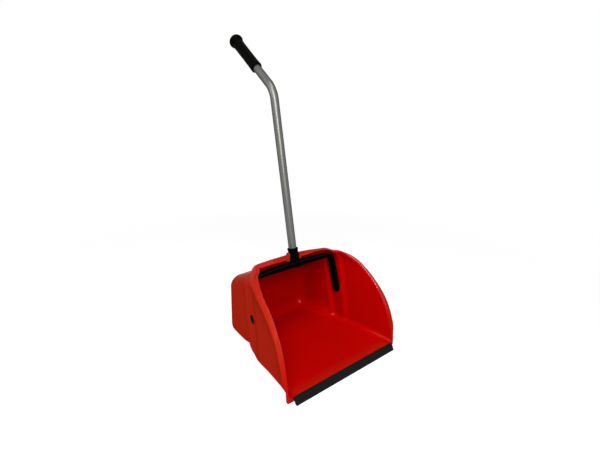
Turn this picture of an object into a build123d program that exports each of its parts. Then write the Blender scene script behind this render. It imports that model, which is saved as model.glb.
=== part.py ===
from build123d import *
import math
import os

# A long-handled dustpan. Millimetres, +Z up, the mouth faces -Y.
# The origin is on the ground, on the flat foot under the bin at the rear.

# Hopper shell. Half widths are those of the inside, carried down to the ground.
wall = 3.0
mouth_half = 206.5
mouth_flare = 19.0
step_in = 10.0
bin_taper = 13.0
side_draft = 2.5
floor_z = 17.0
hood_z = 277.0
hood_crown = 4.5
mouth_rise = 272.5
roof_fall = 26.0
hood_y = -95.0
mouth_reach = 243.0
bin_depth = 155.5
foot_ahead = 25.5
foot_flat = 0.5
roof_corner = 38.0
floor_corner = 14.0
foot_corner = 30.0
rear_corner = 42.0
rear_round = 32.0

# Side bays in which the arms of the yoke lie, and their joggles.
bay_ahead = 12.0
bay_behind = 26.0
step_length = 12.0

# Rolled rim round the mouth, open to the rear.
rim_reach = 6.0
rim_rise = 5.0
rim_wall = 2.8
rim_flange = 3.5
rim_depth_hood = 11.0
rim_depth_side = 9.0
rim_depth_lip = 4.0
rim_foot_z = 2.0

# Notch in the hood that the neck of the yoke rests in.
notch_clearance = 1.0
neck_behind_edge = 2.0
cheek_rise = 7.0
cheek_wall = 2.5
cheek_slope = 7.0
recess_half = 62.0
recess_depth = 1.5
recess_height = 5.0

# Pivots.
pivot_z = 138.0
pin_d = 14.0
pin_head_d = 28.0
pin_head_t = 2.5
running_clearance = 0.08
face_clearance = 0.4
pad_margin = 3.0
pad_proud = 1.0

# Handle: yoke, tube, rivet and grip. Heights run along the handle from the pivots.
handle_lean = 10.5
arm_width = 30.0
arm_t = 8.0
arm_inset = 5.5
bar_side_gap = 14.0
bar_low = 117.0
bar_arch = 8.0
yoke_corner = 18.0
neck_base_d = 35.0
neck_top_d = 30.0
collar_d = 33.0
collar_length = 10.0
socket_top = 176.0
socket_floor = 137.0
spigot_top = 206.0
tube_d = 25.0
tube_wall = 1.5
fit_clearance = 0.15
bend_height = 652.0
bend_radius = 75.0
bend_angle = 43.4
rivet_above_collar = 13.0
rivet_d = 5.0
rivet_head_d = 9.0
rivet_head_t = 2.0
rivet_dome = 1.6
rivet_turn = 50.0
grip_from_bend = 100.0
grip_length = 163.0
grip_d = 34.0
grip_lip_d = 36.5
grip_lip_length = 4.0
knob_d = 47.0
knob_length = 37.0
knob_neck = 14.0
grip_end_wall = 8.0

# Lip strip: a rubber blade pushed on a tongue along the front of the floor.
lip_side_gap = 12.0
tongue_length = 6.0
tongue_t = 2.0
lip_flap = 1.5
lip_back = 2.0
lip_reach = 16.0
blade_t = 4.0

# Sizes that follow from those above.
lean_tan = math.tan(math.radians(handle_lean))
fall_tan = math.tan(math.radians(roof_fall))
draft_tan = math.tan(math.radians(side_draft))
mouth_y = hood_y - mouth_reach
rear_y = hood_y + bin_depth
corner_z = hood_z - hood_crown
tube_r = tube_d / 2
rim_grow = wall + rim_reach
rim_top = hood_z + rim_grow + rim_rise
pivot_y = hood_y + neck_behind_edge - (hood_z - pivot_z) * lean_tan
pivot_ground_y = pivot_y - pivot_z * lean_tan
shoulder_half = mouth_half - mouth_flare
bay_half = shoulder_half - step_in
bin_half = bay_half - step_in
bin_rear_half = bin_half - bin_taper
pivot_wall = bay_half - pivot_z * draft_tan
pad_in = pivot_wall - pad_proud
pad_out = pivot_wall + wall + pad_proud
pad_r = pin_head_d / 2 + pad_margin
boss_end = pad_in - face_clearance
arm_out = boss_end - arm_inset
bar_top = bar_low + arm_t + bar_arch
bar_z = pivot_z + (bar_low + arm_t) * math.cos(math.radians(handle_lean))
yoke_half = bay_half - bar_z * draft_tan - bar_side_gap
lip_half = mouth_half - lip_side_gap
tongue_top = floor_z - (wall - tongue_t) / 2
tongue_low = tongue_top - tongue_t
span = 2 * mouth_half

handle_plane = Plane(
    origin=(0, pivot_y, pivot_z),
    x_dir=(1, 0, 0),
    z_dir=(0, -math.cos(math.radians(handle_lean)), math.sin(math.radians(handle_lean))),
)


def roof_corner_z(ground_y, lean):
    """Height of the roof's square corner in a section plane: flat to the hood's edge, then falling."""
    tilt = math.tan(math.radians(lean))
    falling = (corner_z + fall_tan * (hood_y - ground_y)) / (1 + fall_tan * tilt)
    return min(corner_z, falling)


class Station:
    """One cross-section of the hopper: a rounded box with drafted sides and a crowned top."""

    def __init__(self, y, half, low, high, corner, lean=handle_lean, closes=False):
        self.y = y
        self.half = half
        self.low = low
        self.high = high
        self.corner = corner
        self.lean = lean
        self.closes = closes

    def face(self, grow):
        """The section, moved outwards by grow."""
        stretch = 1 / math.cos(math.radians(self.lean))
        low = self.low - grow
        high = self.high + grow
        half_low = self.half + grow - low * draft_tan
        half_high = self.half + grow - high * draft_tan
        left_low = (-half_low, low * stretch)
        right_low = (half_low, low * stretch)
        left_high = (-half_high, high * stretch)
        right_high = (half_high, high * stretch)
        crest = (0, (high + hood_crown) * stretch)
        outline = Line(left_low, right_low) + Line(right_low, right_high)
        outline += ThreePointArc(right_high, crest, left_high) + Line(left_high, left_low)
        section = make_face(outline)
        section = fillet(section.vertices().group_by(Axis.Y)[0], self.corner + grow)
        section = fillet(section.vertices().group_by(Axis.Y)[-1], roof_corner + grow)
        tilt = math.radians(self.lean)
        place = Plane(
            origin=(0, self.y + grow if self.closes else self.y, 0),
            x_dir=(1, 0, 0),
            z_dir=(0, -math.cos(tilt), math.sin(tilt)),
        )
        return place * section


def hopper_stations(level_roof):
    """Sections from ahead of the mouth to the rear. A level roof stops behind the bays, for the rim."""
    joggle_front = pivot_ground_y - bay_ahead - step_length
    bay_front = pivot_ground_y - bay_ahead
    hood_edge = hood_y - corner_z * lean_tan
    bay_rear = pivot_ground_y + bay_behind
    joggle_rear = pivot_ground_y + bay_behind + step_length
    places = [
        (mouth_y - floor_z, mouth_half),
        (joggle_front, shoulder_half),
        (bay_front, bay_half),
        (hood_edge, bay_half),
        (bay_rear, bay_half),
        (joggle_rear, bin_half),
    ]
    if level_roof:
        low = rim_foot_z + rim_grow
        return [Station(y, half, low, corner_z + rim_rise, floor_corner) for y, half in places]
    stations = [
        Station(y, half, floor_z, roof_corner_z(y, handle_lean), floor_corner) for y, half in places
    ]
    taper = (bin_half - bin_rear_half) / (rear_y - joggle_rear)
    foot_half = bin_half - taper * (-foot_ahead - joggle_rear)
    sole = wall - foot_flat
    stations.append(Station(-foot_ahead, foot_half, sole, roof_corner_z(-foot_ahead, 0), foot_corner, 0))
    stations.append(Station(rear_y, bin_rear_half, sole, roof_corner_z(rear_y, 0), rear_corner, 0, True))
    return stations


def hopper_body(grow):
    """The hopper's space, closed at the rear by a wall with rounded edges."""
    body = loft([station.face(grow) for station in hopper_stations(False)], ruled=True)
    rear_edges = body.faces().sort_by(Axis.Y)[-1].edges()
    return fillet(rear_edges, rear_round + grow)


def rim_body(grow):
    """The space inside a rim that stands off the mouth by grow."""
    return loft([station.face(grow) for station in hopper_stations(True)], ruled=True)


def behind_mouth(inset_front, inset_top, inset_hood):
    """All that lies behind the mouth's side line: an ellipse up to the hood, then upright."""
    edge_y = hood_y + inset_hood
    curve = Ellipse(mouth_reach + inset_hood - inset_front, mouth_rise - inset_top)
    sweep_up = extrude(Plane.YZ * Pos(edge_y, 0) * curve, span, both=True)
    rear = Box(2 * span, mouth_reach, 2 * hood_z, align=(Align.CENTER, Align.MIN, Align.CENTER))
    return sweep_up + Pos(0, edge_y, hood_z / 2) * rear


def neck_d_at(height):
    """Diameter of the neck at a height along the handle."""
    share = (height - bar_low) / (socket_top - collar_length - bar_low)
    return neck_base_d + (neck_top_d - neck_base_d) * share


def on_handle(shape):
    """Move a shape from the handle's own axes (across, along, ahead) to its place."""
    return handle_plane * shape


def upright(radius, low, high):
    """Round bar along the handle's length."""
    return Plane.XZ * Pos(0, 0, -high) * Cylinder(
        radius, high - low, align=(Align.CENTER, Align.CENTER, Align.MIN)
    )


def notch_space():
    """U-shaped slot along the neck, open ahead, with a round seat behind the neck."""
    rim_height = (hood_z - pivot_z) / math.cos(math.radians(handle_lean))
    radius = neck_d_at(rim_height) / 2 + notch_clearance
    low = bar_low + arm_t
    high = socket_top
    seat = upright(radius, low, high)
    ahead = Pos(0, (low + high) / 2, neck_base_d) * Box(2 * radius, high - low, 2 * neck_base_d)
    return radius, on_handle(seat + ahead)


def cheek(side, radius):
    """Upright cheek beside the notch, with a sloping outer buttress on the rim."""
    top = rim_top + cheek_rise
    outer = radius + cheek_wall
    foot = outer + cheek_slope
    outline = Polyline(
        (side * (radius - notch_clearance), corner_z),
        (side * (radius - notch_clearance), top),
        (side * outer, top),
        (side * foot, rim_top - rim_wall),
        (side * foot, corner_z),
        close=True,
    )
    block = extrude(Plane.XZ * make_face(outline), -rim_depth_hood)
    return Pos(0, hood_y, 0) * block


def across_pivot(side, radius, start, end):
    """Round bar on the pivots' axis, from start to end on one side."""
    bar = Cylinder(radius, end - start)
    return Pos(side * (start + end) / 2, pivot_y, pivot_z) * Rot(0, 90, 0) * bar


def make_hopper():
    """Pan shell with its rim, notch, pivot pads and the tongue for the lip strip."""
    outer = hopper_body(wall)
    inner = hopper_body(0)
    mouth = behind_mouth(0, 0, 0)
    band = mouth - behind_mouth(rim_depth_lip, rim_depth_side, rim_depth_hood)
    channel = rim_body(rim_grow - rim_wall) & behind_mouth(rim_depth_lip / 2, rim_flange, rim_flange)
    rim = (rim_body(rim_grow) & band) - (channel - outer)
    radius, notch = notch_space()
    shell = (outer & mouth) + rim + cheek(-1, radius) + cheek(1, radius)
    recess = Box(2 * recess_half, 2 * recess_depth, recess_height)
    shell -= Pos(0, hood_y, (hood_z + rim_top) / 2) * recess
    shell -= inner
    for side in (-1, 1):
        shell += across_pivot(side, pad_r, pad_in, pad_out)
        shell -= across_pivot(side, pin_head_d / 2 + face_clearance, pad_out, mouth_half)
        shell -= across_pivot(side, pin_d / 2 + running_clearance, 0, mouth_half)
    shell -= notch
    shell -= Box(2 * span, 2 * span, hood_z, align=(Align.CENTER, Align.CENTER, Align.MAX))
    tongue = Box(2 * lip_half, 2 * tongue_length, tongue_t, align=(Align.CENTER, Align.CENTER, Align.MAX))
    return shell + Pos(0, mouth_y, tongue_top) * tongue


def make_lip_strip():
    """Rubber strip: a clip round the tongue and a blade that leans forward to the ground."""
    back = mouth_y - face_clearance
    front = mouth_y - tongue_length
    under = tongue_low - lip_back
    tip = mouth_y - lip_reach
    outline = Polyline(
        (back, tongue_top),
        (back, floor_z + lip_flap),
        (front - lip_back, floor_z + lip_flap),
        (tip, 0),
        (tip + blade_t, 0),
        (front + lip_back, under),
        (back, under),
        (back, tongue_low),
        (front, tongue_low),
        (front, tongue_top),
        close=True,
    )
    return extrude(Plane.YZ * make_face(outline), lip_half, both=True)


def make_yoke():
    """Moulded fork: two arms, an arched crossbar, and a neck with a socket and an inner spigot."""
    foot = arm_width / 2
    splay = (arm_out - yoke_half) / bar_low
    foot_out = arm_out + splay * foot
    outline = Line((-foot_out, -foot), (-yoke_half, bar_low + arm_t))
    outline += ThreePointArc(
        (-yoke_half, bar_low + arm_t), (0, bar_top), (yoke_half, bar_low + arm_t)
    )
    outline += Line((yoke_half, bar_low + arm_t), (foot_out, -foot))
    outline += Line((foot_out, -foot), (foot_out - arm_t, -foot))
    outline += Line((foot_out - arm_t, -foot), (yoke_half - arm_t, bar_low))
    outline += Line((yoke_half - arm_t, bar_low), (arm_t - yoke_half, bar_low))
    outline += Line((arm_t - yoke_half, bar_low), (arm_t - foot_out, -foot))
    outline += Line((arm_t - foot_out, -foot), (-foot_out, -foot))
    fork = make_face(outline)
    fork = fillet(fork.vertices().group_by(Axis.Y)[1], yoke_corner - arm_t)
    fork = fillet(fork.vertices().group_by(Axis.Y)[-1], yoke_corner)
    bar = extrude(fork, foot, both=True)
    side_view = Plane.YZ * Circle(foot)
    side_view += Plane.YZ * Pos(bar_top / 2, 0) * Rectangle(bar_top, arm_width)
    yoke = bar & extrude(side_view, span, both=True)
    collar_low = socket_top - collar_length
    neck = Plane.XZ * Pos(0, 0, -collar_low) * Cone(
        neck_top_d / 2, neck_base_d / 2, collar_low - bar_low, align=(Align.CENTER, Align.CENTER, Align.MIN)
    )
    yoke += neck
    yoke += upright(collar_d / 2, collar_low, socket_top)
    yoke -= upright(tube_r + fit_clearance, socket_floor, socket_top)
    spigot_r = tube_r - tube_wall - fit_clearance
    yoke += upright(spigot_r, bar_low, spigot_top)
    for side in (-1, 1):
        boss = Cylinder(foot - pad_margin, boss_end - arm_out + arm_t / 2)
        middle = (boss_end + arm_out - arm_t / 2) / 2
        yoke += Pos(side * middle, 0, 0) * Rot(0, 90, 0) * boss
    yoke -= Rot(0, 90, 0) * Cylinder(pin_d / 2 + running_clearance, 2 * span)
    yoke -= rivet_axis() * Cylinder(rivet_d / 2 + fit_clearance, tube_d)
    return on_handle(yoke)


def rivet_axis():
    """Place of the cross rivet: its own Z runs through the tube."""
    return Pos(0, socket_top + rivet_above_collar, 0) * Rot(0, -rivet_turn, 0)


def make_pivot_pin(side):
    """Push pin: a shank through the wall and the arm, with a flat head outside."""
    head_in = pad_out + face_clearance
    shank_in = arm_out - arm_t
    shank = Pos((head_in + shank_in) / 2, 0, 0) * Rot(0, 90, 0) * Cylinder(pin_d / 2, head_in - shank_in)
    head = Cylinder(pin_head_d / 2, pin_head_t)
    head = fillet(head.edges().group_by(Axis.Z)[-1], pin_head_t / 2)
    pin = shank + Pos(head_in + pin_head_t / 2, 0, 0) * Rot(0, 90, 0) * head
    return Pos(0, pivot_y, pivot_z) * (pin if side > 0 else Rot(0, 0, 180) * pin)


def bend_end(distance):
    """A point on the upper stretch, at a distance from the corner of the bend."""
    turn = math.radians(bend_angle)
    return (0, bend_height + distance * math.cos(turn), -distance * math.sin(turn))


def make_handle_tube():
    """Bent round tube, from the socket's floor to the closed end of the grip."""
    tube_end = grip_from_bend + grip_length - grip_end_wall
    path = FilletPolyline((0, socket_floor, 0), (0, bend_height, 0), bend_end(tube_end), radius=bend_radius)
    start = Plane(origin=(0, socket_floor, 0), x_dir=(1, 0, 0), z_dir=(0, 1, 0))
    ring = Circle(tube_r) - Circle(tube_r - tube_wall)
    tube = sweep(start * ring, path)
    tube -= rivet_axis() * Cylinder(rivet_d / 2 + fit_clearance, 2 * tube_d)
    return on_handle(tube)


def make_handle_rivet():
    """Cross rivet through the tube and the spigot, with a low domed head at each end."""
    rivet = Cylinder(rivet_d / 2, tube_d)
    for turn in (0, 180):
        head = Pos(0, 0, tube_r + rivet_head_t / 2) * Cylinder(rivet_head_d / 2, rivet_head_t)
        head = fillet(head.edges().group_by(Axis.Z)[-1], rivet_dome)
        rivet += Rot(turn, 0, 0) * head
    return on_handle(rivet_axis() * rivet)


def make_grip():
    """Moulded grip: a lip, a round body and a mushroom knob, bored for the tube."""
    knob_middle = grip_length - knob_length / 2
    body = Pos(grip_length / 2 - knob_length / 4, grip_d / 4) * Rectangle(
        grip_length - knob_length / 2, grip_d / 2
    )
    lip = Pos(grip_lip_length / 2, grip_lip_d / 4) * Rectangle(grip_lip_length, grip_lip_d / 2)
    half_plane = Pos(grip_length / 2, knob_d / 2) * Rectangle(2 * grip_length, knob_d)
    knob = (Pos(knob_middle, 0) * Ellipse(knob_length / 2, knob_d / 2)) & half_plane
    flare_start = knob_middle - knob_length / 2 - knob_neck
    flare = make_face(
        Polyline(
            (flare_start, 0),
            (flare_start, grip_d / 2),
            (knob_middle - knob_length / 4, knob_d / 2 * math.sqrt(3) / 2),
            (knob_middle, 0),
            close=True,
        )
    )
    grip = revolve(body + lip + knob + flare, Axis.X)
    bore_end = grip_length - grip_end_wall
    bore = Pos(bore_end / 2, 0, 0) * Rot(0, 90, 0) * Cylinder(tube_r + fit_clearance, bore_end)
    start = bend_end(grip_from_bend)
    ahead = bend_end(grip_from_bend + 1)
    along = tuple(b - a for a, b in zip(start, ahead))
    place = Plane(origin=start, x_dir=along, z_dir=(1, 0, 0))
    return on_handle(place * (grip - bore))


parts = {
    "hopper": make_hopper(),
    "lip_strip": make_lip_strip(),
    "yoke": make_yoke(),
    "pivot_pin_left": make_pivot_pin(-1),
    "pivot_pin_right": make_pivot_pin(1),
    "handle_tube": make_handle_tube(),
    "handle_rivet": make_handle_rivet(),
    "grip": make_grip(),
}

os.makedirs("parts", exist_ok=True)
for node, shape in parts.items():
    export_step(shape, f"parts/{node}.step")
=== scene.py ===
from math import cos, pi, radians, sin, tan

import bpy
import numpy as np
from mathutils import Matrix, Vector


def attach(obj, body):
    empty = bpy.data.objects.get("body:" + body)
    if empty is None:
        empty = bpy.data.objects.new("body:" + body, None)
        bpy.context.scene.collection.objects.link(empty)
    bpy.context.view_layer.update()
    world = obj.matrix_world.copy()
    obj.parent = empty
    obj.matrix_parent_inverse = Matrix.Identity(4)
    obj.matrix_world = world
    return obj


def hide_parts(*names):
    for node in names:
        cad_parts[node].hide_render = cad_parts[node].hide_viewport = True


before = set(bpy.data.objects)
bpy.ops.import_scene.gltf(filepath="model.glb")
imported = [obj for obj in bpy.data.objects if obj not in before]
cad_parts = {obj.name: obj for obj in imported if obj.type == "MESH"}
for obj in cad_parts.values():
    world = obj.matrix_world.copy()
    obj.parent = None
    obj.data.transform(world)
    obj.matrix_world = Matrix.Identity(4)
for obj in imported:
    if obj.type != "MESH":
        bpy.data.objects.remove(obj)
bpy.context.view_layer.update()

# The pan: one deep moulding in red plastic with a hood, a rolled rim round the mouth and a bin at the
# rear. Its sides step in twice, which makes the bays where the arms of the fork lie.
# The skin is worked out in millimetres: p runs round the section, y from the mouth to the rear.
mm = 0.001
wall = 3.0
mouth_y = -338.0  # front of the floor
hood_y = -95.0  # edge of the hood
rear_y = 60.5  # rear wall, inside
floor_z = 17.0  # floor in the mouth, inside
corner_z = 272.5  # roof at its corners, inside
crown = 3.5  # rise of the roof to its middle
mouth_half = 207.8  # half widths at the ground
bay_half = 187.5
rear_half = 177.0
tilt = radians(10.5)  # the handle leans back by this, and the bays with it
lean = tan(tilt)
front_lean = tan(radians(8.3))
fall = tan(radians(26))  # roof behind the hood
draft = tan(radians(2.5))  # sides, narrower upwards
roof_corner = 38.0  # radius of the roof's corners at the hood
roof_tighter = 8.0  # less radius over the bin
roof_knee = 6.0  # softness of the roof's bend behind the hood
floor_corner = 14.0  # radius of the floor's corners at the mouth
front_fuller = 6.0  # more radius a little behind the mouth
bin_fuller = 27.0  # more radius in the bin
rear_round = 29.0
joggle_front = -169.5  # start of the front step at the ground
bay_rear = -112.0  # start of the rear step at the ground
joggle_meet = -128.0  # where the two steps run together at the floor
joggle = 14.0  # length of a step
front_soften = 12.0  # more length outside for the front step
step_in = 10.0  # depth of a step
bay_end = -105.0  # end of the parallel part of the sides
ramp_y = -103.0  # start of the ramp to the bin
ramp_inside = 130.0
ramp_outside = 78.0
bin_drop = 14.0  # fall of the floor on the ramp

# Lengths of p, from the middle of the floor half way round to the middle of the roof.
floor_run = 180.0
floor_arc = 22.0
side_run = 205.0
roof_arc = 48.0
roof_run = 146.0
side_start = floor_run + floor_arc
arc_start = side_start + side_run
roof_start = arc_start + roof_arc
half_way = roof_start + roof_run


def ease(value, start=0.0, length=1.0):
    """Smooth step as a value goes from start over a length: 3t^2 - 2t^3, with t from 0 to 1."""
    t = np.clip((value - start) / length, 0, 1)
    return t * t * (3 - 2 * t)


def pan_half(y, z, outer):
    """Half width at the ground: straight tapers, less one eased step for each joggle. Each step runs up the
    side on its own lean. Near the floor the steps grow longer and run together, most of all outside, and
    outside the front step is longer all the way up."""
    taper_at = [mouth_y - floor_z, joggle_front, bay_end, rear_y]
    half = np.interp(y - z * lean, taper_at, [mouth_half, bay_half, bay_half, rear_half])
    near = 1 - ease(z, 4.0, 30.0)
    merge = (0.45 + 0.55 * outer) * (1 - ease(z, 6.0, 40.0))
    for start, step_lean, soften in ((joggle_front, front_lean, front_soften), (bay_rear, lean, 0.0)):
        centre = start + joggle / 2
        centre = centre + 0.8 * merge * (joggle_meet - centre)
        length = joggle + 20.0 * near + 30.0 * merge + soften * outer
        half = half - step_in * ease((y - z * step_lean - centre) / length + 0.5)
    return half


def pan_point(p, y, grow, inset=0.0, shrink=1.0, level=0.0):
    """A point of the pan's skin. The section is a box with drafted sides, arcs in its four corners and a
    crowned roof; it moves out by grow and in by inset, and shrinks to its middle on the rear wall. The
    floor falls to the bin on an eased ramp, a longer and gentler one inside. The roof falls behind the
    hood's edge round a soft knee, but not where level is 1."""
    q = np.minimum(p, 2 * half_way - p)
    side = np.where(p > half_way, -1.0, 1.0)
    floor = np.clip(q / floor_run, 0, 1)
    low_turn = np.clip((q - floor_run) / floor_arc, 0, 1) * pi / 2
    rise = np.clip((q - side_start) / side_run, 0, 1)
    high_turn = np.clip((q - arc_start) / roof_arc, 0, 1) * pi / 2
    roof = np.clip((q - roof_start) / roof_run, 0, 1)
    move = grow - inset
    outer = np.clip(grow / wall, 0, 1)
    gentle = np.clip((y - ramp_y) / ramp_inside, 0, 1)
    ramp = outer * ease(y, ramp_y, ramp_outside) + (1 - outer) * 0.5 * (gentle + ease(gentle))
    low = floor_z - bin_drop * ramp - move
    knee = y - hood_y - roof_knee / 2
    high = corner_z - (1 - level) * fall * 0.5 * (knee + np.sqrt(knee ** 2 + roof_knee ** 2)) + move
    in_front = ease(y, -330.0, 40.0) - ease(y, -230.0, 60.0)
    in_bin = ease(y, -115.0, 60.0)
    low_r = np.maximum(floor_corner + front_fuller * in_front + bin_fuller * in_bin + move, 1.0)
    high_r = np.maximum(roof_corner - roof_tighter * ease(y, hood_y, 40.0) + move, 1.0)
    upright = high - low - low_r - high_r
    z = low + low_r * (1 - np.cos(low_turn)) + rise * upright + high_r * np.sin(high_turn)
    half = pan_half(y, z, outer) + move
    x = (floor * (half - low_r) + low_r * np.sin(low_turn) - high_r * (1 - np.cos(high_turn))
         - roof * (half - high_r))
    z = z + crown * (1 - (1 - roof) ** 2) ** 2
    x = side * x * (1 - z * draft / half)
    middle = (low + high) / 2
    return np.stack(np.broadcast_arrays(x * shrink, y, middle + (z - middle) * shrink), axis=-1)


# Lines round the section: up the right side, over the hood to the middle of its notch, and mirrored down
# the left side. They stand closer in the corners, at the ends of the hood's pocket and beside the notch.
notch_r = 17.8
pocket_half = 76.0
pocket_depth = 4.5
hood_wall = bay_half - step_in
hood_half = (hood_wall - roof_corner) * (1 - corner_z * draft / hood_wall)
off_hood = 1000.0
notch_turn = np.linspace(pi / 2, 0, 12)
hood_x = np.concatenate([
    np.linspace(hood_half, 78, 14)[1:], [76.5, 75.5, 74.5, 73.5, 72], np.linspace(70, 24, 12),
    [22, 20.5, 19.5, 18.6, 18.0], notch_r * np.sin(notch_turn),
])
line = np.concatenate([
    np.linspace(0, floor_run, 15)[:-1], floor_run + np.linspace(0, floor_arc, 19)[:-1],
    side_start + np.linspace(0, side_run, 41)[:-1], arc_start + np.linspace(0, roof_arc, 31),
    half_way - roof_run * hood_x / hood_half,
])
line = np.concatenate([line, (2 * half_way - line)[-2:0:-1]])
line_q = np.minimum(line, 2 * half_way - line)
line_left = line > half_way
line_on_hood = line_q > roof_start
line_x = np.where(line_on_hood, (half_way - line_q) * hood_half / roof_run, off_hood)
line_z = pan_point(line, np.full_like(line, mouth_y), 0.0)[:, 2]

# The edge of the mouth, seen from the side, swings out on a blunt ellipse from the hood to the floor.
# back_p and back_y lead from the edge square into the wall. In the notch the edge is half a circle.
mouth_swing = 258.0
swing_round = 15.0
swing = mouth_swing * np.clip(1 - (line_z / corner_z) ** 1.85, 0, 1) ** (1 / 2.3)
edge_y = hood_y - (np.hypot(swing, swing_round) - swing_round)
along = (np.roll(line, -1) - np.roll(line, 1)) % (2 * half_way)
back = np.roll(edge_y, -1) - np.roll(edge_y, 1)
back_y = along / np.hypot(along, back)
back_p = -back / np.hypot(along, back)
in_notch = line_x < notch_r + 0.01
notch_seat = 2 + np.sqrt(np.clip(notch_r ** 2 - line_x ** 2, 0, None))
edge_y = np.where(in_notch, hood_y + notch_seat, edge_y)
rim_back = 4.5  # behind the edge, where the channel ends on the outside of the wall


def rim_profile(edge_r, reach, lead, slope):
    """Rolled rim in section, as distances out from the wall and back from the edge: a rounded inner edge,
    the front face as far as lead, a flange that slopes out and back to reach and slope with its two bends
    eased by squares, a short skirt with a round tail, and the channel behind it, back to the wall."""
    quarter = np.linspace(0, pi / 2, 9)
    tail = np.linspace(0, pi, 9)[1:]
    ahead = np.linspace(0, 1, 6)[1:]
    bent = np.linspace(0, 1, 8)[1:]
    few = np.linspace(0, 1, 4)[1:]
    tail_r = 1.4
    run = np.hypot(reach - lead, slope)
    go_out = (reach - lead) / run
    go_back = slope / run
    first = np.minimum(0.8 * (lead - edge_r), 0.45 * run)
    second = 0.3 * run
    depth = np.maximum(slope + second + 2.2, 7.0)
    leave = (1 - bent) ** 2
    reached = bent ** 2
    skirt = depth - tail_r - slope - second
    behind = reach - 2 * tail_r
    parts = [
        (edge_r * (1 - np.cos(quarter)), edge_r * (1 - np.sin(quarter))),
        (edge_r + ahead * (lead - first - edge_r), 0 * ahead),
        (lead - first * leave + first * go_out * reached, first * go_back * reached),
        (reach - second * go_out * leave, slope - second * go_back * leave + second * reached),
        (reach + 0 * few, slope + second + few * skirt),
        (reach - tail_r + tail_r * np.cos(tail), depth - tail_r + tail_r * np.sin(tail)),
        (behind + 0 * few, depth - tail_r + few * (rim_back + tail_r - depth)),
        (behind - few, rim_back - few),
        (behind - 1 + few * (wall + 2 - behind), rim_back - 1 + 0 * few),
        (wall + 1 - few, rim_back - 1 + few),
    ]
    return [np.concatenate([np.broadcast_to(part, (len(reach), part.shape[-1])) for part in way], axis=1)
            for way in zip(*parts)]


# The rim along the line. Under the floor it reaches down almost to the ground, with square lower corners.
# Over the hood its top leans, higher at the left end and lower at the right one, as photographed. There its
# inner edge sags in the middle, and a shallow pocket is sunk in its front on each side of the notch.
rim_reach = 17.0
left_up = 5.8
right_down = 3.6
foot_side = 22.0  # the square lower corners, from the middle of the floor's corner arc
foot_down = 30.8
foot_power = 7
floor_margin = 2.3  # flange left below the front face under the floor
face_side = 7.0  # width of the front face on the sides and over the hood
face_hood = 10.7
edge_side = 5.5  # radius of the inner edge on the sides, along the floor and over the hood
edge_floor = 2.2
edge_hood = 9.5
least = 0.8  # least width of the flange and of the front face
slope_low = 1.5  # slope of the flange low on the sides and at their top
slope_top = 8.0
slope_corner = 6.0  # more slope in the roof's corners
low_share = 1 - ease(line_q, floor_run - 6, floor_arc + 20)
side_low = 1 - ease(line_q, side_start, 45)
floor_turn = np.clip((line_q - floor_run) / floor_arc, 0, 1) * pi / 2
square = (np.sin(floor_turn) / foot_side) ** foot_power + (np.cos(floor_turn) / foot_down) ** foot_power
foot_reach = square ** (-1 / foot_power) - floor_corner
roof_share = np.clip((line_q - arc_start) / roof_arc, 0, 1)
corner = ease(roof_share)
lean_over = np.where(line_left, left_up, -right_down)
hood_at = [0, 42, 78, 110, hood_half]
hood_reach = np.interp(line_x, hood_at, [16.5, 16.0, 14.8, 12.9, 11.2])
hood_reach = hood_reach + lean_over * np.interp(line_x, hood_at, [0.0, 0.16, 0.52, 0.86, 1.0])
side_more = rim_reach - (foot_side - floor_corner)
side_reach = rim_reach - (left_up - lean_over) * corner ** 3 - side_more * side_low
reach = np.where(line_on_hood, hood_reach, np.where(floor_turn < pi / 2, foot_reach, side_reach))
slope = slope_low + (slope_top - slope_low) * ease(line_q, side_start + 100, 105)
slope = slope + slope_corner * np.sin(pi * roof_share ** 3) ** 2
lead = face_side + (reach - floor_margin - face_side) * low_share + (face_hood - face_side) * corner
lead = np.minimum(lead, reach - least)
edge_r = edge_side - (edge_side - edge_floor) * low_share + (edge_hood - edge_side) * corner
edge_r = np.minimum(edge_r, lead - least)
rim_out, rim_rear = rim_profile(*(size[:, None] for size in (edge_r, reach, lead, slope)))
face = 14  # points of the rim's section before its first bend
sag = np.where(line_left, 3.0, 4.8) * ease(95 - line_x, 0, 50)
sag_share = np.append(np.ones(9), np.linspace(0.8, 0, 5))
rim_out[:, :face] -= sag[:, None] * np.exp(-rim_rear[:, :face] / 3.0) * sag_share
pocket = (ease(pocket_half - line_x, 0, 4.0) * (line_x > 20))[:, None]
rim_rear[:, 9:24] += pocket_depth * pocket * np.sin(np.linspace(0, pi, 15)) ** 0.5

# In the notch there is no rim, only the bare edge of the wall.
step = np.linspace(0, 1, rim_out.shape[1])
bare_out = wall * ease(step, 0, 0.4)
bare_rear = 1.2 * (1 - ease(step, 0, 0.15)) + rim_back * np.clip((step - 0.35) / 0.65, 0, 1)
rim_out = np.where(in_notch[:, None], bare_out, rim_out)
rim_rear = np.where(in_notch[:, None], bare_rear, rim_rear)
rim_p = line[:, None] + back_p[:, None] * rim_rear
rim_y = edge_y[:, None] + back_y[:, None] * rim_rear
rim = pan_point(rim_p, rim_y, rim_out, level=ease(rim_out, 0, wall))


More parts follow.
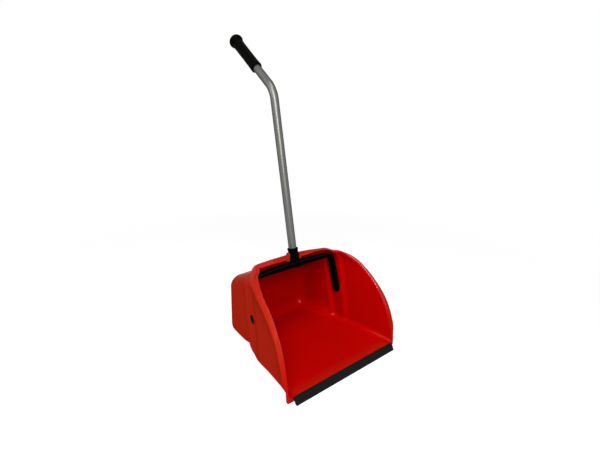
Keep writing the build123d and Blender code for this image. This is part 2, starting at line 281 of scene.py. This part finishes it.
def pan_lines(start, grow):
    """Lines of the wall from the rim to the middle of the rear: spaced between the joggles, then round the
    rear edge on an arc, then straight in over the rear wall."""
    first = edge_y + back_y * start
    marks = [joggle_front, joggle_front + joggle, bay_rear, bay_rear + joggle]
    stops = [first] + [mark + line_z * lean for mark in marks]
    bin_y = -25.0
    stops += [np.full_like(first, place) for place in (bin_y, rear_y - rear_round)]
    stops = np.stack([np.maximum(stop, first + 0.8 * i) for i, stop in enumerate(stops)])
    shares = [np.linspace(0, 1, count, endpoint=False)[:, None] for count in (24, 11, 6, 11, 11, 8)]
    y = np.concatenate([a + share * (b - a) for share, a, b in zip(shares, stops[:-1], stops[1:])])
    left = (stops[-1] - y) / (stops[-1] - stops[0])
    p = line + back_p * start * left
    turn = np.linspace(0, pi / 2, 10)[:, None]
    round_r = rear_round + grow
    over = np.linspace(1, 0, 9)[1:-1, None]
    y = np.concatenate([y, stops[-1] + round_r * np.sin(turn), stops[-1] + round_r + 0 * over])
    p = np.concatenate([p, line + 0 * turn, line + 0 * over])
    inset = np.concatenate([0 * left[:, :1], round_r * (1 - np.cos(turn)), round_r + 0 * over])
    shrink = np.concatenate([1 + 0 * left[:, :1], 1 + 0 * turn, over])
    return pan_point(p, y, grow, inset, shrink)


def skin(rings):
    """Closed skin over rings: quads between neighbours, each ring closed on itself, and a fan over each
    end. It is turned the right way out by the sign of its volume."""
    n, m = rings.shape[:2]
    points = np.vstack([rings.reshape(-1, 3), rings[0].mean(axis=0), rings[-1].mean(axis=0)])
    i, j = np.meshgrid(np.arange(n - 1) * m, np.arange(m), indexing="ij")
    k = (j + 1) % m
    quads = np.stack([i + j, i + k, i + m + k, i + m + j], axis=-1).reshape(-1, 4)
    a = np.arange(m)
    b = (a + 1) % m
    first_fan = np.stack([b, a, 0 * a + n * m], axis=-1)
    last_fan = np.stack([a, b, 0 * a + m + 1], axis=-1) + (n - 1) * m
    fans = np.vstack([first_fan, last_fan])
    triangles = points[np.vstack([quads[:, :3], quads[:, [0, 2, 3]], fans])]
    volume = np.einsum("ij,ij->i", triangles[:, 0], np.cross(triangles[:, 1], triangles[:, 2])).sum()
    faces = quads.tolist() + fans.tolist()
    return points, faces if volume > 0 else [f[::-1] for f in faces]


def piece(name, shells, finish, body, slot, *nodes):
    """One object from closed skins in millimetres, smooth but for its sharp edges, riding on a CAD body."""
    offsets = np.cumsum([0] + [len(s[0]) for s in shells])
    points = np.vstack([s[0] for s in shells]) * mm
    faces = [[v + int(o) for v in f] for s, o in zip(shells, offsets) for f in s[1]]
    mesh = bpy.data.meshes.new(name)
    mesh.from_pydata(points, [], faces)
    mesh.shade_smooth()
    mesh.set_sharp_from_angle(angle=radians(38))
    mesh.materials.append(finish.owner)
    made = bpy.data.objects.new(name, mesh)
    bpy.context.scene.collection.objects.link(made)
    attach(made, body)
    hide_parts(*nodes)
    return made


def keep(made, name, values, rest=0.0):
    """Keep a share from 0 to 1 for each point of the first skin as the piece's own attribute, and one for
    the rest."""
    values = np.append(np.ravel(values), np.full(len(made.data.vertices) - np.size(values), rest))
    made.data.attributes.new(name, "FLOAT", "POINT").data.foreach_set("value", values)


def rounded(corners, radius, count=5):
    """Closed outline with each corner of a polygon cut by a quadratic curve of about that radius."""
    corners = np.asarray(corners, float)
    before = np.roll(corners, 1, axis=0) - corners
    after = np.roll(corners, -1, axis=0) - corners
    cut_before = np.minimum(radius, 0.45 * np.linalg.norm(before, axis=1))[:, None]
    cut_after = np.minimum(radius, 0.45 * np.linalg.norm(after, axis=1))[:, None]
    start = corners + before / np.linalg.norm(before, axis=1)[:, None] * cut_before
    end = corners + after / np.linalg.norm(after, axis=1)[:, None] * cut_after
    t = np.linspace(0, 1, count)[None, :, None]
    bend = (1 - t) ** 2 * start[:, None] + 2 * t * (1 - t) * corners[:, None] + t ** 2 * end[:, None]
    return bend.reshape(-1, 2)


def turned(profile, place, count=48):
    """A turned piece: the profile's distance along the axis and radius, carried once round it."""
    profile = np.asarray(profile, float)
    turn = np.linspace(0, 2 * pi, count, endpoint=False)
    return skin(place(profile[:, :1], profile[:, 1:] * np.cos(turn), profile[:, 1:] * np.sin(turn)))


class Val:
    """A shader socket. Arithmetic on it adds Math nodes to its finish."""

    def __init__(self, finish, socket):
        self.finish = finish
        self.socket = socket

    def __add__(self, other):
        return self.finish.add("Math", {"operation": "ADD"}, {0: self, 1: other})

    def __mul__(self, other):
        return self.finish.add("Math", {"operation": "MULTIPLY"}, {0: self, 1: other})

    __radd__ = __add__
    __rmul__ = __mul__


class Finish:
    """The nodes of a material. add() makes one from its type, its settings and what its sockets hold."""

    def __init__(self, owner, output="OutputMaterial"):
        self.owner = owner
        self.output = output
        owner.use_nodes = True
        self.tree = owner.node_tree
        self.tree.nodes.clear()

    def add(self, kind, settings=None, sockets=None, out=0):
        node = self.tree.nodes.new("ShaderNode" + kind)
        for key, value in (settings or {}).items():
            setattr(node, key, value)
        for key, value in (sockets or {}).items():
            if isinstance(value, Val):
                self.tree.links.new(value.socket, node.inputs[key])
            else:
                node.inputs[key].default_value = value
        return Val(self, node.outputs[out])

    def noise(self, scale, detail=2.0, rough=0.5, stretch=(1, 1, 1)):
        """Noise from 0 to 1 over the object's own metres."""
        place = self.add("TexCoord", out="Object")
        stretched = self.add("Mapping", {}, {"Vector": place, "Scale": stretch})
        sockets = {"Vector": stretched, "Scale": scale, "Detail": detail, "Roughness": rough}
        return self.add("TexNoise", {}, sockets, "Fac")

    def share(self, name):
        """A share that is kept on the points of the piece."""
        return self.add("Attribute", {"attribute_name": name}, {}, "Fac")

    def mix(self, share, a, b):
        """Colour a where share is 0 and b where it is 1."""
        return self.add("Mix", {"data_type": "RGBA"}, {"Factor": share, 6: a, 7: b}, 2)

    def close(self, sockets, bump=None, strength=0.1, distance=0.001):
        """The surface shader and the output."""
        if bump is not None:
            height = {"Strength": strength, "Distance": distance, "Height": bump}
            sockets["Normal"] = self.add("Bump", {}, height, "Normal")
        self.show(self.add("BsdfPrincipled", {}, sockets))

    def show(self, surface):
        """The output."""
        node = self.tree.nodes.new("ShaderNode" + self.output)
        self.tree.links.new(surface.socket, node.inputs["Surface"])


# The red is deep inside. On the outside, on the rim and on the floor near the lip it is paler with a
# painted reflection of the white surround, for its base reflects nothing. Its gloss lies only where the
# mould was
# polished or use has rubbed it: in the floor's corners, on the rim's inner edge and shoulders, and over the
# roof.
red = Finish(bpy.data.materials.new("red_moulded_plastic"))
tint = red.noise(9.0, 3.0)
grain = red.noise(900.0, 2.0)
scuff = red.noise(60.0, 6.0, 0.65, (1, 1, 0.25))
red_inside = red.mix(tint, (0.48, 0.0008, 0.0005, 1), (0.53, 0.0012, 0.0007, 1))
# Painted reflection: a paler red for the outside, standing in for the white surround's reflection, since
# the base reflects nothing.
red_paled_by_reflection = red.mix(tint, (0.43, 0.0165, 0.006, 1), (0.47, 0.02, 0.0075, 1))
red.close({
    "Base Color": red.mix(red.share("painted_reflection"), red_inside, red_paled_by_reflection),
    "Roughness": 0.3 + 0.12 * scuff,
    "Specular IOR Level": 0.0,
    "Coat Weight": 0.8 * red.share("polish"),
    "Coat Roughness": 0.11,
}, grain, 0.06, 0.0002)
inside = pan_lines(edge_r, 0.0)[::-1]
outside = pan_lines(rim_back, wall)
pan_rings = np.concatenate([inside, rim.transpose(1, 0, 2)[1:-1], outside])

# Two cheeks on the hood keep the neck in the notch, the right one lower, as photographed.
cheek_in = 17.9
cheek_layers = np.array([0.93, 1, 1, 0.93])[:, None, None]
cheek_y = np.array([-97.2, -96.2, -86.5, -85.5])[:, None]
cheeks = []
for s in (-1, 1):
    cheek_z = 298.0 - 3.0 * s
    outline = rounded([(s * cheek_in, 273.0), (s * 30.0, 276.0), (s * 26.5, cheek_z - 9.0),
                       (s * 22.5, cheek_z), (s * cheek_in, cheek_z)], 1.6)
    centre = outline.mean(axis=0)
    layers = centre + (outline - centre) * cheek_layers
    layer_y = np.broadcast_to(cheek_y, layers.shape[:2])
    cheeks.append(skin(np.stack([layers[..., 0], layer_y, layers[..., 1]], axis=-1)))

# Two round pads with a raised ring stand on the outside, where the pins go through the walls.
pivot_y = -118.762
pivot_z = 138.0
pad_profile = [(171.0, 0.0), (171.0, 16.6), (175.9, 16.6), (176.7, 16.0), (176.9, 15.2), (176.7, 14.6),
               (175.2, 14.4), (175.2, 0.0)]


def on_wall(s):
    """Points from the axis of the pins on side s: outward, to the rear, and up."""
    def place(out, rear, up):
        return np.stack(np.broadcast_arrays(s * out, pivot_y + rear, pivot_z + up), axis=-1)

    return place


pads = [turned(pad_profile, on_wall(s)) for s in (-1, 1)]
pan = piece("pan", [skin(pan_rings)] + cheeks + pads, red, "pan", "pan_plastic", "hopper")

# Where the pan is glossy and where its red is paled by a painted reflection. The rows of the rim follow
# those of the inside.
rows = len(inside)
rim_edge = slice(rows, rows + 9)
rim_face = slice(rows + 9, rows + 20)
rim_shoulder = slice(rows + 14, rows + 31)
rim_front = slice(rows + 7, rows + 28)
inside_gloss = np.interp(inside[..., 1], [-200, -170, -90, -60], [0.25, 0.5, 0.5, 0.15])
polish = np.zeros(pan_rings.shape[:2])
polish[:rows] = np.sin(2 * floor_turn) ** 4 * inside_gloss
polish[rim_edge] = (0.1 + 0.75 * ease(line_z, 90.0, 80.0)) * np.where(line_on_hood, 0.45, 1.0)
polish[rim_face] = 0.06
polish[rim_shoulder] += 0.6 * corner ** 4 * np.linspace(0.1, 1, 17)[:, None]
polish[-len(outside):] = 0.28 * corner * (1 - ease(outside[..., 1], 5.0, 45.0))
keep(pan, "polish", polish)
# Painted reflection: the paler red over the whole outside and the rim, less of it low on the rim, and a
# painted sheen on the floor near the lip.
painted_reflection = np.zeros(pan_rings.shape[:2])
painted_reflection[:rows] = 0.45 * (1 - ease(inside[..., 1], mouth_y, 42.0)) * (line_q < floor_run)
painted_reflection[rim_front.start:] = 1.0
painted_reflection[rim_front] = 0.3 + 0.7 * ease(line_z, 50.0, 110.0)
keep(pan, "painted_reflection", painted_reflection, 1.0)

# The lip strip: an extruded black rubber blade pushed on the tongue along the front of the floor.
# Its flap lies flush with the floor and its edge leans forward to the ground.
lip_half = 195.0
lip_end = 0.8
rubber = Finish(bpy.data.materials.new("black_lip_rubber"))
rubber_mark = rubber.noise(70.0, 4.0, 0.6, (0.3, 1, 1))
rubber.close({
    "Base Color": rubber.mix(rubber_mark, (0.006, 0.007, 0.007, 1), (0.01, 0.012, 0.012, 1)),
    "Roughness": 0.55 + 0.2 * rubber_mark,
    "Specular IOR Level": 0.04,
}, rubber_mark, 0.1, 0.0005)
lip_corners = np.array([(-0.4, 16.5), (-0.4, 18.5), (-8.5, 18.5), (-17.5, 0.0), (-13.0, 0.0), (-4.0, 12.5),
                        (-0.4, 12.5), (-0.4, 14.5), (-6.0, 14.5), (-6.0, 16.5)])
lip_section = rounded(lip_corners + [mouth_y, 0.0], 1.1)
lip_x = np.concatenate([[-lip_half], np.linspace(lip_end - lip_half, lip_half - lip_end, 60), [lip_half]])
lip_trim = np.concatenate([[0.9], np.ones(60), [0.9]])
lip_middle = lip_section.mean(axis=0)
lip_yz = lip_middle + (lip_section - lip_middle)[None] * lip_trim[:, None, None]
lip_rings = np.concatenate([np.broadcast_to(lip_x[:, None, None], lip_yz.shape[:2] + (1,)), lip_yz], axis=2)
piece("lip_strip_rubber", [skin(lip_rings)], rubber, "pan", "lip_rubber", "lip_strip")

# The fork: a black moulding with two flat arms, an arched crossbar and a neck with a collar on top.
# It turns on the two pins, and the neck rests in the notch of the hood.
arm_out = 167.5  # outside of the arms at the pins
arm_t = 8.0
arm_half = 15.0
arm_top = 100.0  # where the arms bend into the crossbar
bar_half = 157.0
bar_low = 117.0
bar_arch = 8.0
bar_end = 134.0  # where the shoulders meet the crossbar, above and below
bar_end_low = 128.0
edge_most = 2.2
black = Finish(bpy.data.materials.new("black_fork_plastic"))
black_mark = black.noise(25.0, 4.0, 0.6)
black_grain = black.noise(1200.0, 2.0)
black.close({
    "Base Color": black.mix(black_mark, (0.0006, 0.0007, 0.0005, 1), (0.0012, 0.0014, 0.001, 1)),
    "Roughness": 0.42 + 0.15 * black_mark,
    "Specular IOR Level": 0.008,
    "Coat Weight": 0.17 * black.share("polish"),
    "Coat Roughness": 0.2,
}, black_grain, 0.1, 0.0002)


def on_handle(x, high, ahead):
    """Points from the handle's own axes: across, along the handle from the pivots, and ahead."""
    y = pivot_y + high * sin(tilt) - ahead * cos(tilt)
    z = pivot_z + high * cos(tilt) + ahead * sin(tilt)
    return np.stack(np.broadcast_arrays(x, y, z), axis=-1)


def on_arm(s, narrow=1.0):
    """Points from the axis of the pins on side s: outward, along the handle, and ahead, narrowed there."""
    return lambda out, high, ahead: on_handle(s * out, high, narrow * ahead)


def shoulder(middle_x, across, up):
    """A quarter of an ellipse from an arm to the crossbar."""
    turn = np.linspace(0, pi / 2, 12)[1:]
    return np.stack([middle_x + across * np.cos(turn), arm_top + up * np.sin(turn)], axis=1)


splay = (arm_out - bar_half) / bar_low
foot_turn = np.linspace(pi / 2, 0, 9)
foot_high = -arm_half * np.sin(foot_turn)
foot_wide = np.maximum(arm_half * np.cos(foot_turn), 0.8)
arm_high = np.concatenate([foot_high, np.linspace(0, arm_top, 22)[1:]])
bar_x = np.linspace(bar_end, 0, 28)[1:]
bar_top = bar_low + arm_t + bar_arch * (1 - (bar_x / bar_half) ** 2)
fork_outer = np.concatenate([
    np.stack([arm_out - splay * arm_high, arm_high], axis=1),
    shoulder(bar_end + 1, 23.5, 27.2),
    np.stack([bar_x, bar_top], axis=1),
])
fork_inner = np.concatenate([
    np.stack([arm_out - arm_t - splay * arm_high, arm_high], axis=1),
    shoulder(bar_end_low, 22.5, 17.0),
    np.stack([bar_x * bar_end_low / bar_end, bar_low + 0 * bar_x], axis=1),
])
fork_wide = np.concatenate([foot_wide, np.full(len(fork_outer) - len(foot_wide), arm_half)])
fork_outer = np.concatenate([fork_outer, fork_outer[-2::-1] * [-1, 1]])
fork_inner = np.concatenate([fork_inner, fork_inner[-2::-1] * [-1, 1]])
fork_wide = np.concatenate([fork_wide, fork_wide[-2::-1]])
fork_middle = (fork_outer + fork_inner) / 2
half_t = np.linalg.norm(fork_outer - fork_inner, axis=1) / 2
fork_across = (fork_outer - fork_inner) / (2 * half_t[:, None])
fork_edge = np.minimum(edge_most, 0.45 * np.minimum(half_t, fork_wide))
quadrant = np.arange(4) * pi / 2
corner_turn = (np.linspace(0, pi / 2, 6) + quadrant[:, None]).ravel()
sign_a = np.sign(np.cos(quadrant + pi / 4)).repeat(6)
sign_b = np.sign(np.sin(quadrant + pi / 4)).repeat(6)
part_a = sign_a * (half_t - fork_edge)[:, None] + fork_edge[:, None] * np.cos(corner_turn)
part_b = sign_b * (fork_wide - fork_edge)[:, None] + fork_edge[:, None] * np.sin(corner_turn)
fork_xy = fork_middle[:, None] + fork_across[:, None] * part_a[..., None]
fork_shell = skin(on_handle(fork_xy[..., 0], fork_xy[..., 1], part_b))
neck_profile = [(bar_low - 1, 0.0), (bar_low - 1, 16.6), (bar_low + 1, 17.2), (153, 17.1), (158, 16.6),
                (165, 15.7), (170.6, 15.5), (171.2, 15.8), (171.6, 16.5), (172.4, 16.9), (175.8, 16.8),
                (176.6, 16.4), (177.0, 15.6), (177.0, 12.8), (173, 12.6), (173, 0.0)]
neck_shell = turned(neck_profile, lambda high, x, ahead: on_handle(x, high, ahead))
boss_profile = [(158.0, 0.0), (158.0, 11.5), (169.3, 11.5), (170.0, 10.8), (170.0, 0.0)]
boss_shells = [turned(boss_profile, on_arm(s), 32) for s in (-1, 1)]
fork = piece("fork", [fork_shell, neck_shell] + boss_shells, black, "handle", "fork_plastic", "yoke")
keep(fork, "polish", np.tile([0, 0.8, 1, 1, 0.8, 0], len(fork_wide) * 4))

# The pivot pins: black push pins through the side walls into the arms of the fork.
# Each has a low oval head outside, in the ring of its pad, and a plain shank inside.
pin_head = [(175.4, 0.0), (175.4, 13.8), (175.9, 13.8), (176.3, 13.2), (176.3, 0.0)]
pin_shank = [(157.2, 0.0), (157.2, 6.4), (157.8, 7.0), (170.9, 7.0), (170.9, 0.0)]
pin_narrow = 0.7
for s, node in ((-1, "pivot_pin_left"), (1, "pivot_pin_right")):
    pin_shells = [turned(pin_head, on_arm(s, pin_narrow), 40), turned(pin_shank, on_arm(s), 40)]
    piece(node + "_turned", pin_shells, black, "handle", "fork_plastic", node)

# The handle tube: 25 mm round drawn aluminium, bent once near the top towards the user.
# It stands in the socket of the neck and ends inside the grip.
tube_r = 12.5
tube_foot = 138.0  # lower end, up the handle from the pivots
tube_end = 255.0  # upper end, from the corner of the bend
bend_high = 652.0
bend_r = 75.0
bend_turn = radians(43.4)
metal = Finish(bpy.data.materials.new("drawn_aluminium"))
draw = metal.noise(260.0, 4.0, 0.6, (6, 6, 0.06))
cloud = metal.noise(14.0, 3.0)
metal.close({
    "Base Color": metal.mix(draw, (0.13, 0.132, 0.123, 1), (0.154, 0.157, 0.148, 1)),
    "Metallic": 1.0,
    "Specular Tint": (0.2, 0.2, 0.2, 1),
    "Roughness": 0.37 + 0.006 * draw + 0.03 * cloud,
})
set_back = bend_r * tan(bend_turn / 2)
low_run = np.linspace(tube_foot, bend_high - set_back, 60)
curve = np.linspace(0, bend_turn, 26)[1:]
top_run = np.linspace(set_back, tube_end, 24)[1:]
curve_high = bend_high - set_back + bend_r * np.sin(curve)
tube_high = np.concatenate([low_run, curve_high, bend_high + top_run * cos(bend_turn)])
tube_back = np.concatenate([0 * low_run, bend_r * (1 - np.cos(curve)), top_run * sin(bend_turn)])
tube_turn = np.concatenate([0 * low_run, curve, bend_turn + 0 * top_run])
flat = np.concatenate([0 * low_run, np.sin(pi * curve / bend_turn) ** 2, 0 * top_run])
ring = np.linspace(0, 2 * pi, 64, endpoint=False)
ring_x = tube_r * (1 + 0.02 * flat[:, None]) * np.cos(ring)
ring_n = tube_r * (1 - 0.04 * flat[:, None]) * np.sin(ring)
tube_rings = on_handle(ring_x, tube_high[:, None] + ring_n * np.sin(tube_turn)[:, None],
                       -tube_back[:, None] + ring_n * np.cos(tube_turn)[:, None])
piece("tube", [skin(tube_rings)], metal, "handle", "tube_metal", "handle_tube")

# The cross rivet: plain aluminium with a low dome at each end, set through the tube and the spigot
# above the collar.
rivet_high = 189.0
rivet_turn = radians(50)
rivet_head_r = 3.6
rivet_shank_r = 2.5
bright = Finish(bpy.data.materials.new("rivet_aluminium"))
bright_mark = bright.noise(400.0, 3.0)
bright.close({
    "Base Color": bright.mix(bright_mark, (0.075, 0.076, 0.07, 1), (0.11, 0.112, 0.105, 1)),
    "Metallic": 1.0,
    "Roughness": 0.38 + 0.15 * bright_mark,
})


def on_rivet(a, b, c):
    """Points from the rivet's axes: along it, up the handle, and sideways."""
    x = a * -sin(rivet_turn) + c * cos(rivet_turn)
    ahead = a * cos(rivet_turn) + c * sin(rivet_turn)
    return on_handle(x, rivet_high + b, ahead)


dome = np.linspace(0, pi / 2, 7)
head = np.stack([12.4 + 1.4 * np.sin(dome), rivet_head_r * np.cos(dome)], axis=1)
shank = [[-12.2, rivet_shank_r], [12.2, rivet_shank_r]]
rivet_profile = np.concatenate([head[::-1] * [-1, 1], shank, head])
piece("rivet", [turned(rivet_profile, on_rivet, 32)], bright, "handle", "rivet_metal", "handle_rivet")

# The grip: a black moulded sleeve pushed on the tube's upper end.
# It has a lip below, a slight waist for the hand and a knob at the end.
grip_from = 105.0  # lower end, from the corner of the tube's bend
grip_length = 158.0
knob_r = 22.0
knob_half = 17.5
grip_black = Finish(bpy.data.materials.new("grip_plastic"))
grip_mark = grip_black.noise(40.0, 4.0, 0.6)
grip_grain = grip_black.noise(700.0, 3.0)
grip_black.close({
    "Base Color": grip_black.mix(grip_mark, (0.0006, 0.0009, 0.0004, 1), (0.0014, 0.0018, 0.001, 1)),
    "Roughness": 0.45 + 0.16 * grip_mark,
    "Specular IOR Level": 0.015,
}, grip_grain, 0.15, 0.0003)


def on_grip(a, b, c):
    """Points from the grip's axes: along it from its lower end, across, and square to both."""
    run = grip_from + a
    high = bend_high + run * cos(bend_turn) + c * sin(bend_turn)
    return on_handle(b, high, -run * sin(bend_turn) + c * cos(bend_turn))


knob = np.linspace(radians(-50), pi / 2, 18)
waist = np.linspace(0, pi, 12)
grip_profile = np.concatenate([
    [(6, 0.0), (6, 12.7), (0.4, 12.9), (0, 13.3), (0, 16.6), (0.4, 17.2), (1.2, 17.5),
     (4, 17.4), (10, 17.2)],
    np.stack([np.linspace(16, 104, 12), 17.1 - 0.3 * np.sin(waist)], axis=1),
    [(110, 17.1), (116, 17.2), (121, 17.4), (125, 17.6)],
    np.stack([grip_length - knob_half + knob_half * np.sin(knob), knob_r * np.cos(knob)], axis=1),
])
piece("grip_sleeve", [turned(grip_profile, on_grip)], grip_black, "handle", "grip_plastic", "grip")

# The studio: a pale floor that keeps the shadow and reads as white to the eye and in reflections, and an
# even white surround. Four soft lamps stand round it: the key ahead on the left, a smaller one near the
# camera, one above and a weak one on the left.
floor_half = 8.0
floor_mesh = bpy.data.meshes.new("studio_floor")
floor_corners = [(a * floor_half, b * floor_half, 0) for a, b in ((-1, -1), (1, -1), (1, 1), (-1, 1))]
floor_mesh.from_pydata(floor_corners, [], [(0, 1, 2, 3)])
floor_object = bpy.data.objects.new("studio_floor", floor_mesh)
bpy.context.scene.collection.objects.link(floor_object)


def seen(finish):
    """1 for a ray from the camera, a reflection or a clear body, 0 for scattered light."""
    return (finish.add("LightPath", out="Is Camera Ray") + finish.add("LightPath", out="Is Glossy Ray")
            + finish.add("LightPath", out="Is Transmission Ray"))


white = (1, 1, 1, 1)
paper = Finish(bpy.data.materials.new("pale_floor"))
matt = paper.add("BsdfDiffuse", {}, {"Color": (0.8, 0.8, 0.8, 1)})
shadowed = paper.add("BsdfDiffuse", {}, {"Color": (0.42, 0.42, 0.42, 1)})
glow = paper.add("Emission", {}, {"Color": white, "Strength": 0.8})
spot = paper.add("TexCoord", out="Object")
distance = paper.add("VectorMath", {"operation": "LENGTH"}, {0: spot}, "Value")
far = paper.add("MapRange", {}, {"Value": distance, "From Min": 0.6, "From Max": 1.6})
white_far = paper.add("Emission", {}, {"Color": white, "Strength": 1.0})
lit = paper.add("AddShader", {}, {0: glow, 1: shadowed})
to_eye = paper.add("MixShader", {}, {0: far, 1: lit, 2: white_far})
paper.show(paper.add("MixShader", {}, {0: seen(paper), 1: matt, 2: to_eye}))
floor_mesh.materials.append(paper.owner)

surround = Finish(bpy.data.worlds.new("studio"), "OutputWorld")
soft = surround.add("Background", {}, {"Color": white, "Strength": 0.12})
bright_back = surround.add("Background", {}, {"Color": white, "Strength": 1.0})
surround.show(surround.add("MixShader", {}, {0: seen(surround), 1: soft, 2: bright_back}))
bpy.context.scene.world = surround.owner


def lamp(name, place, aim, size, watts):
    """A square area light at a place, facing a point."""
    data = bpy.data.lights.new(name, "AREA")
    data.size = size
    data.energy = watts
    made = bpy.data.objects.new(name, data)
    made.location = place
    made.rotation_euler = (Vector(aim) - Vector(place)).to_track_quat("-Z", "Y").to_euler()
    bpy.context.scene.collection.objects.link(made)


pan_middle = (0.0, -0.1, 0.15)
lamp("key", (-1.15, -1.23, 1.8), pan_middle, 1.1, 24)
lamp("near", (-0.75, -1.5, 1.2), pan_middle, 0.4, 12.5)
lamp("top", (-0.3, -0.75, 2.4), pan_middle, 0.8, 10)
lamp("left", (-1.6, 0.3, 1.6), (0.0, 0.0, 0.2), 1.0, 5.4)

# The camera stands at the photograph's place: ahead of the mouth, to its left and above.
# It looks along a line that was fitted to the photograph's outline.
camera_place = (-0.71075, -1.01270, 0.75830)
camera_turn = radians(-38.646)
camera_lift = radians(18.667)
camera_data = bpy.data.cameras.new("camera")
camera_data.lens = 24.0
camera_data.sensor_width = 36.0
camera = bpy.data.objects.new("camera", camera_data)
away = Vector((sin(camera_turn) * cos(camera_lift), -cos(camera_turn) * cos(camera_lift), sin(camera_lift)))
right = Vector((cos(camera_turn), sin(camera_turn), 0))
up = away.cross(right)
facing = Matrix((right, up, away)).transposed().to_4x4()
camera.matrix_world = Matrix.Translation(camera_place) @ facing
bpy.context.scene.collection.objects.link(camera)
bpy.context.scene.camera = camera
bpy.context.scene.view_settings.view_transform = "Standard"
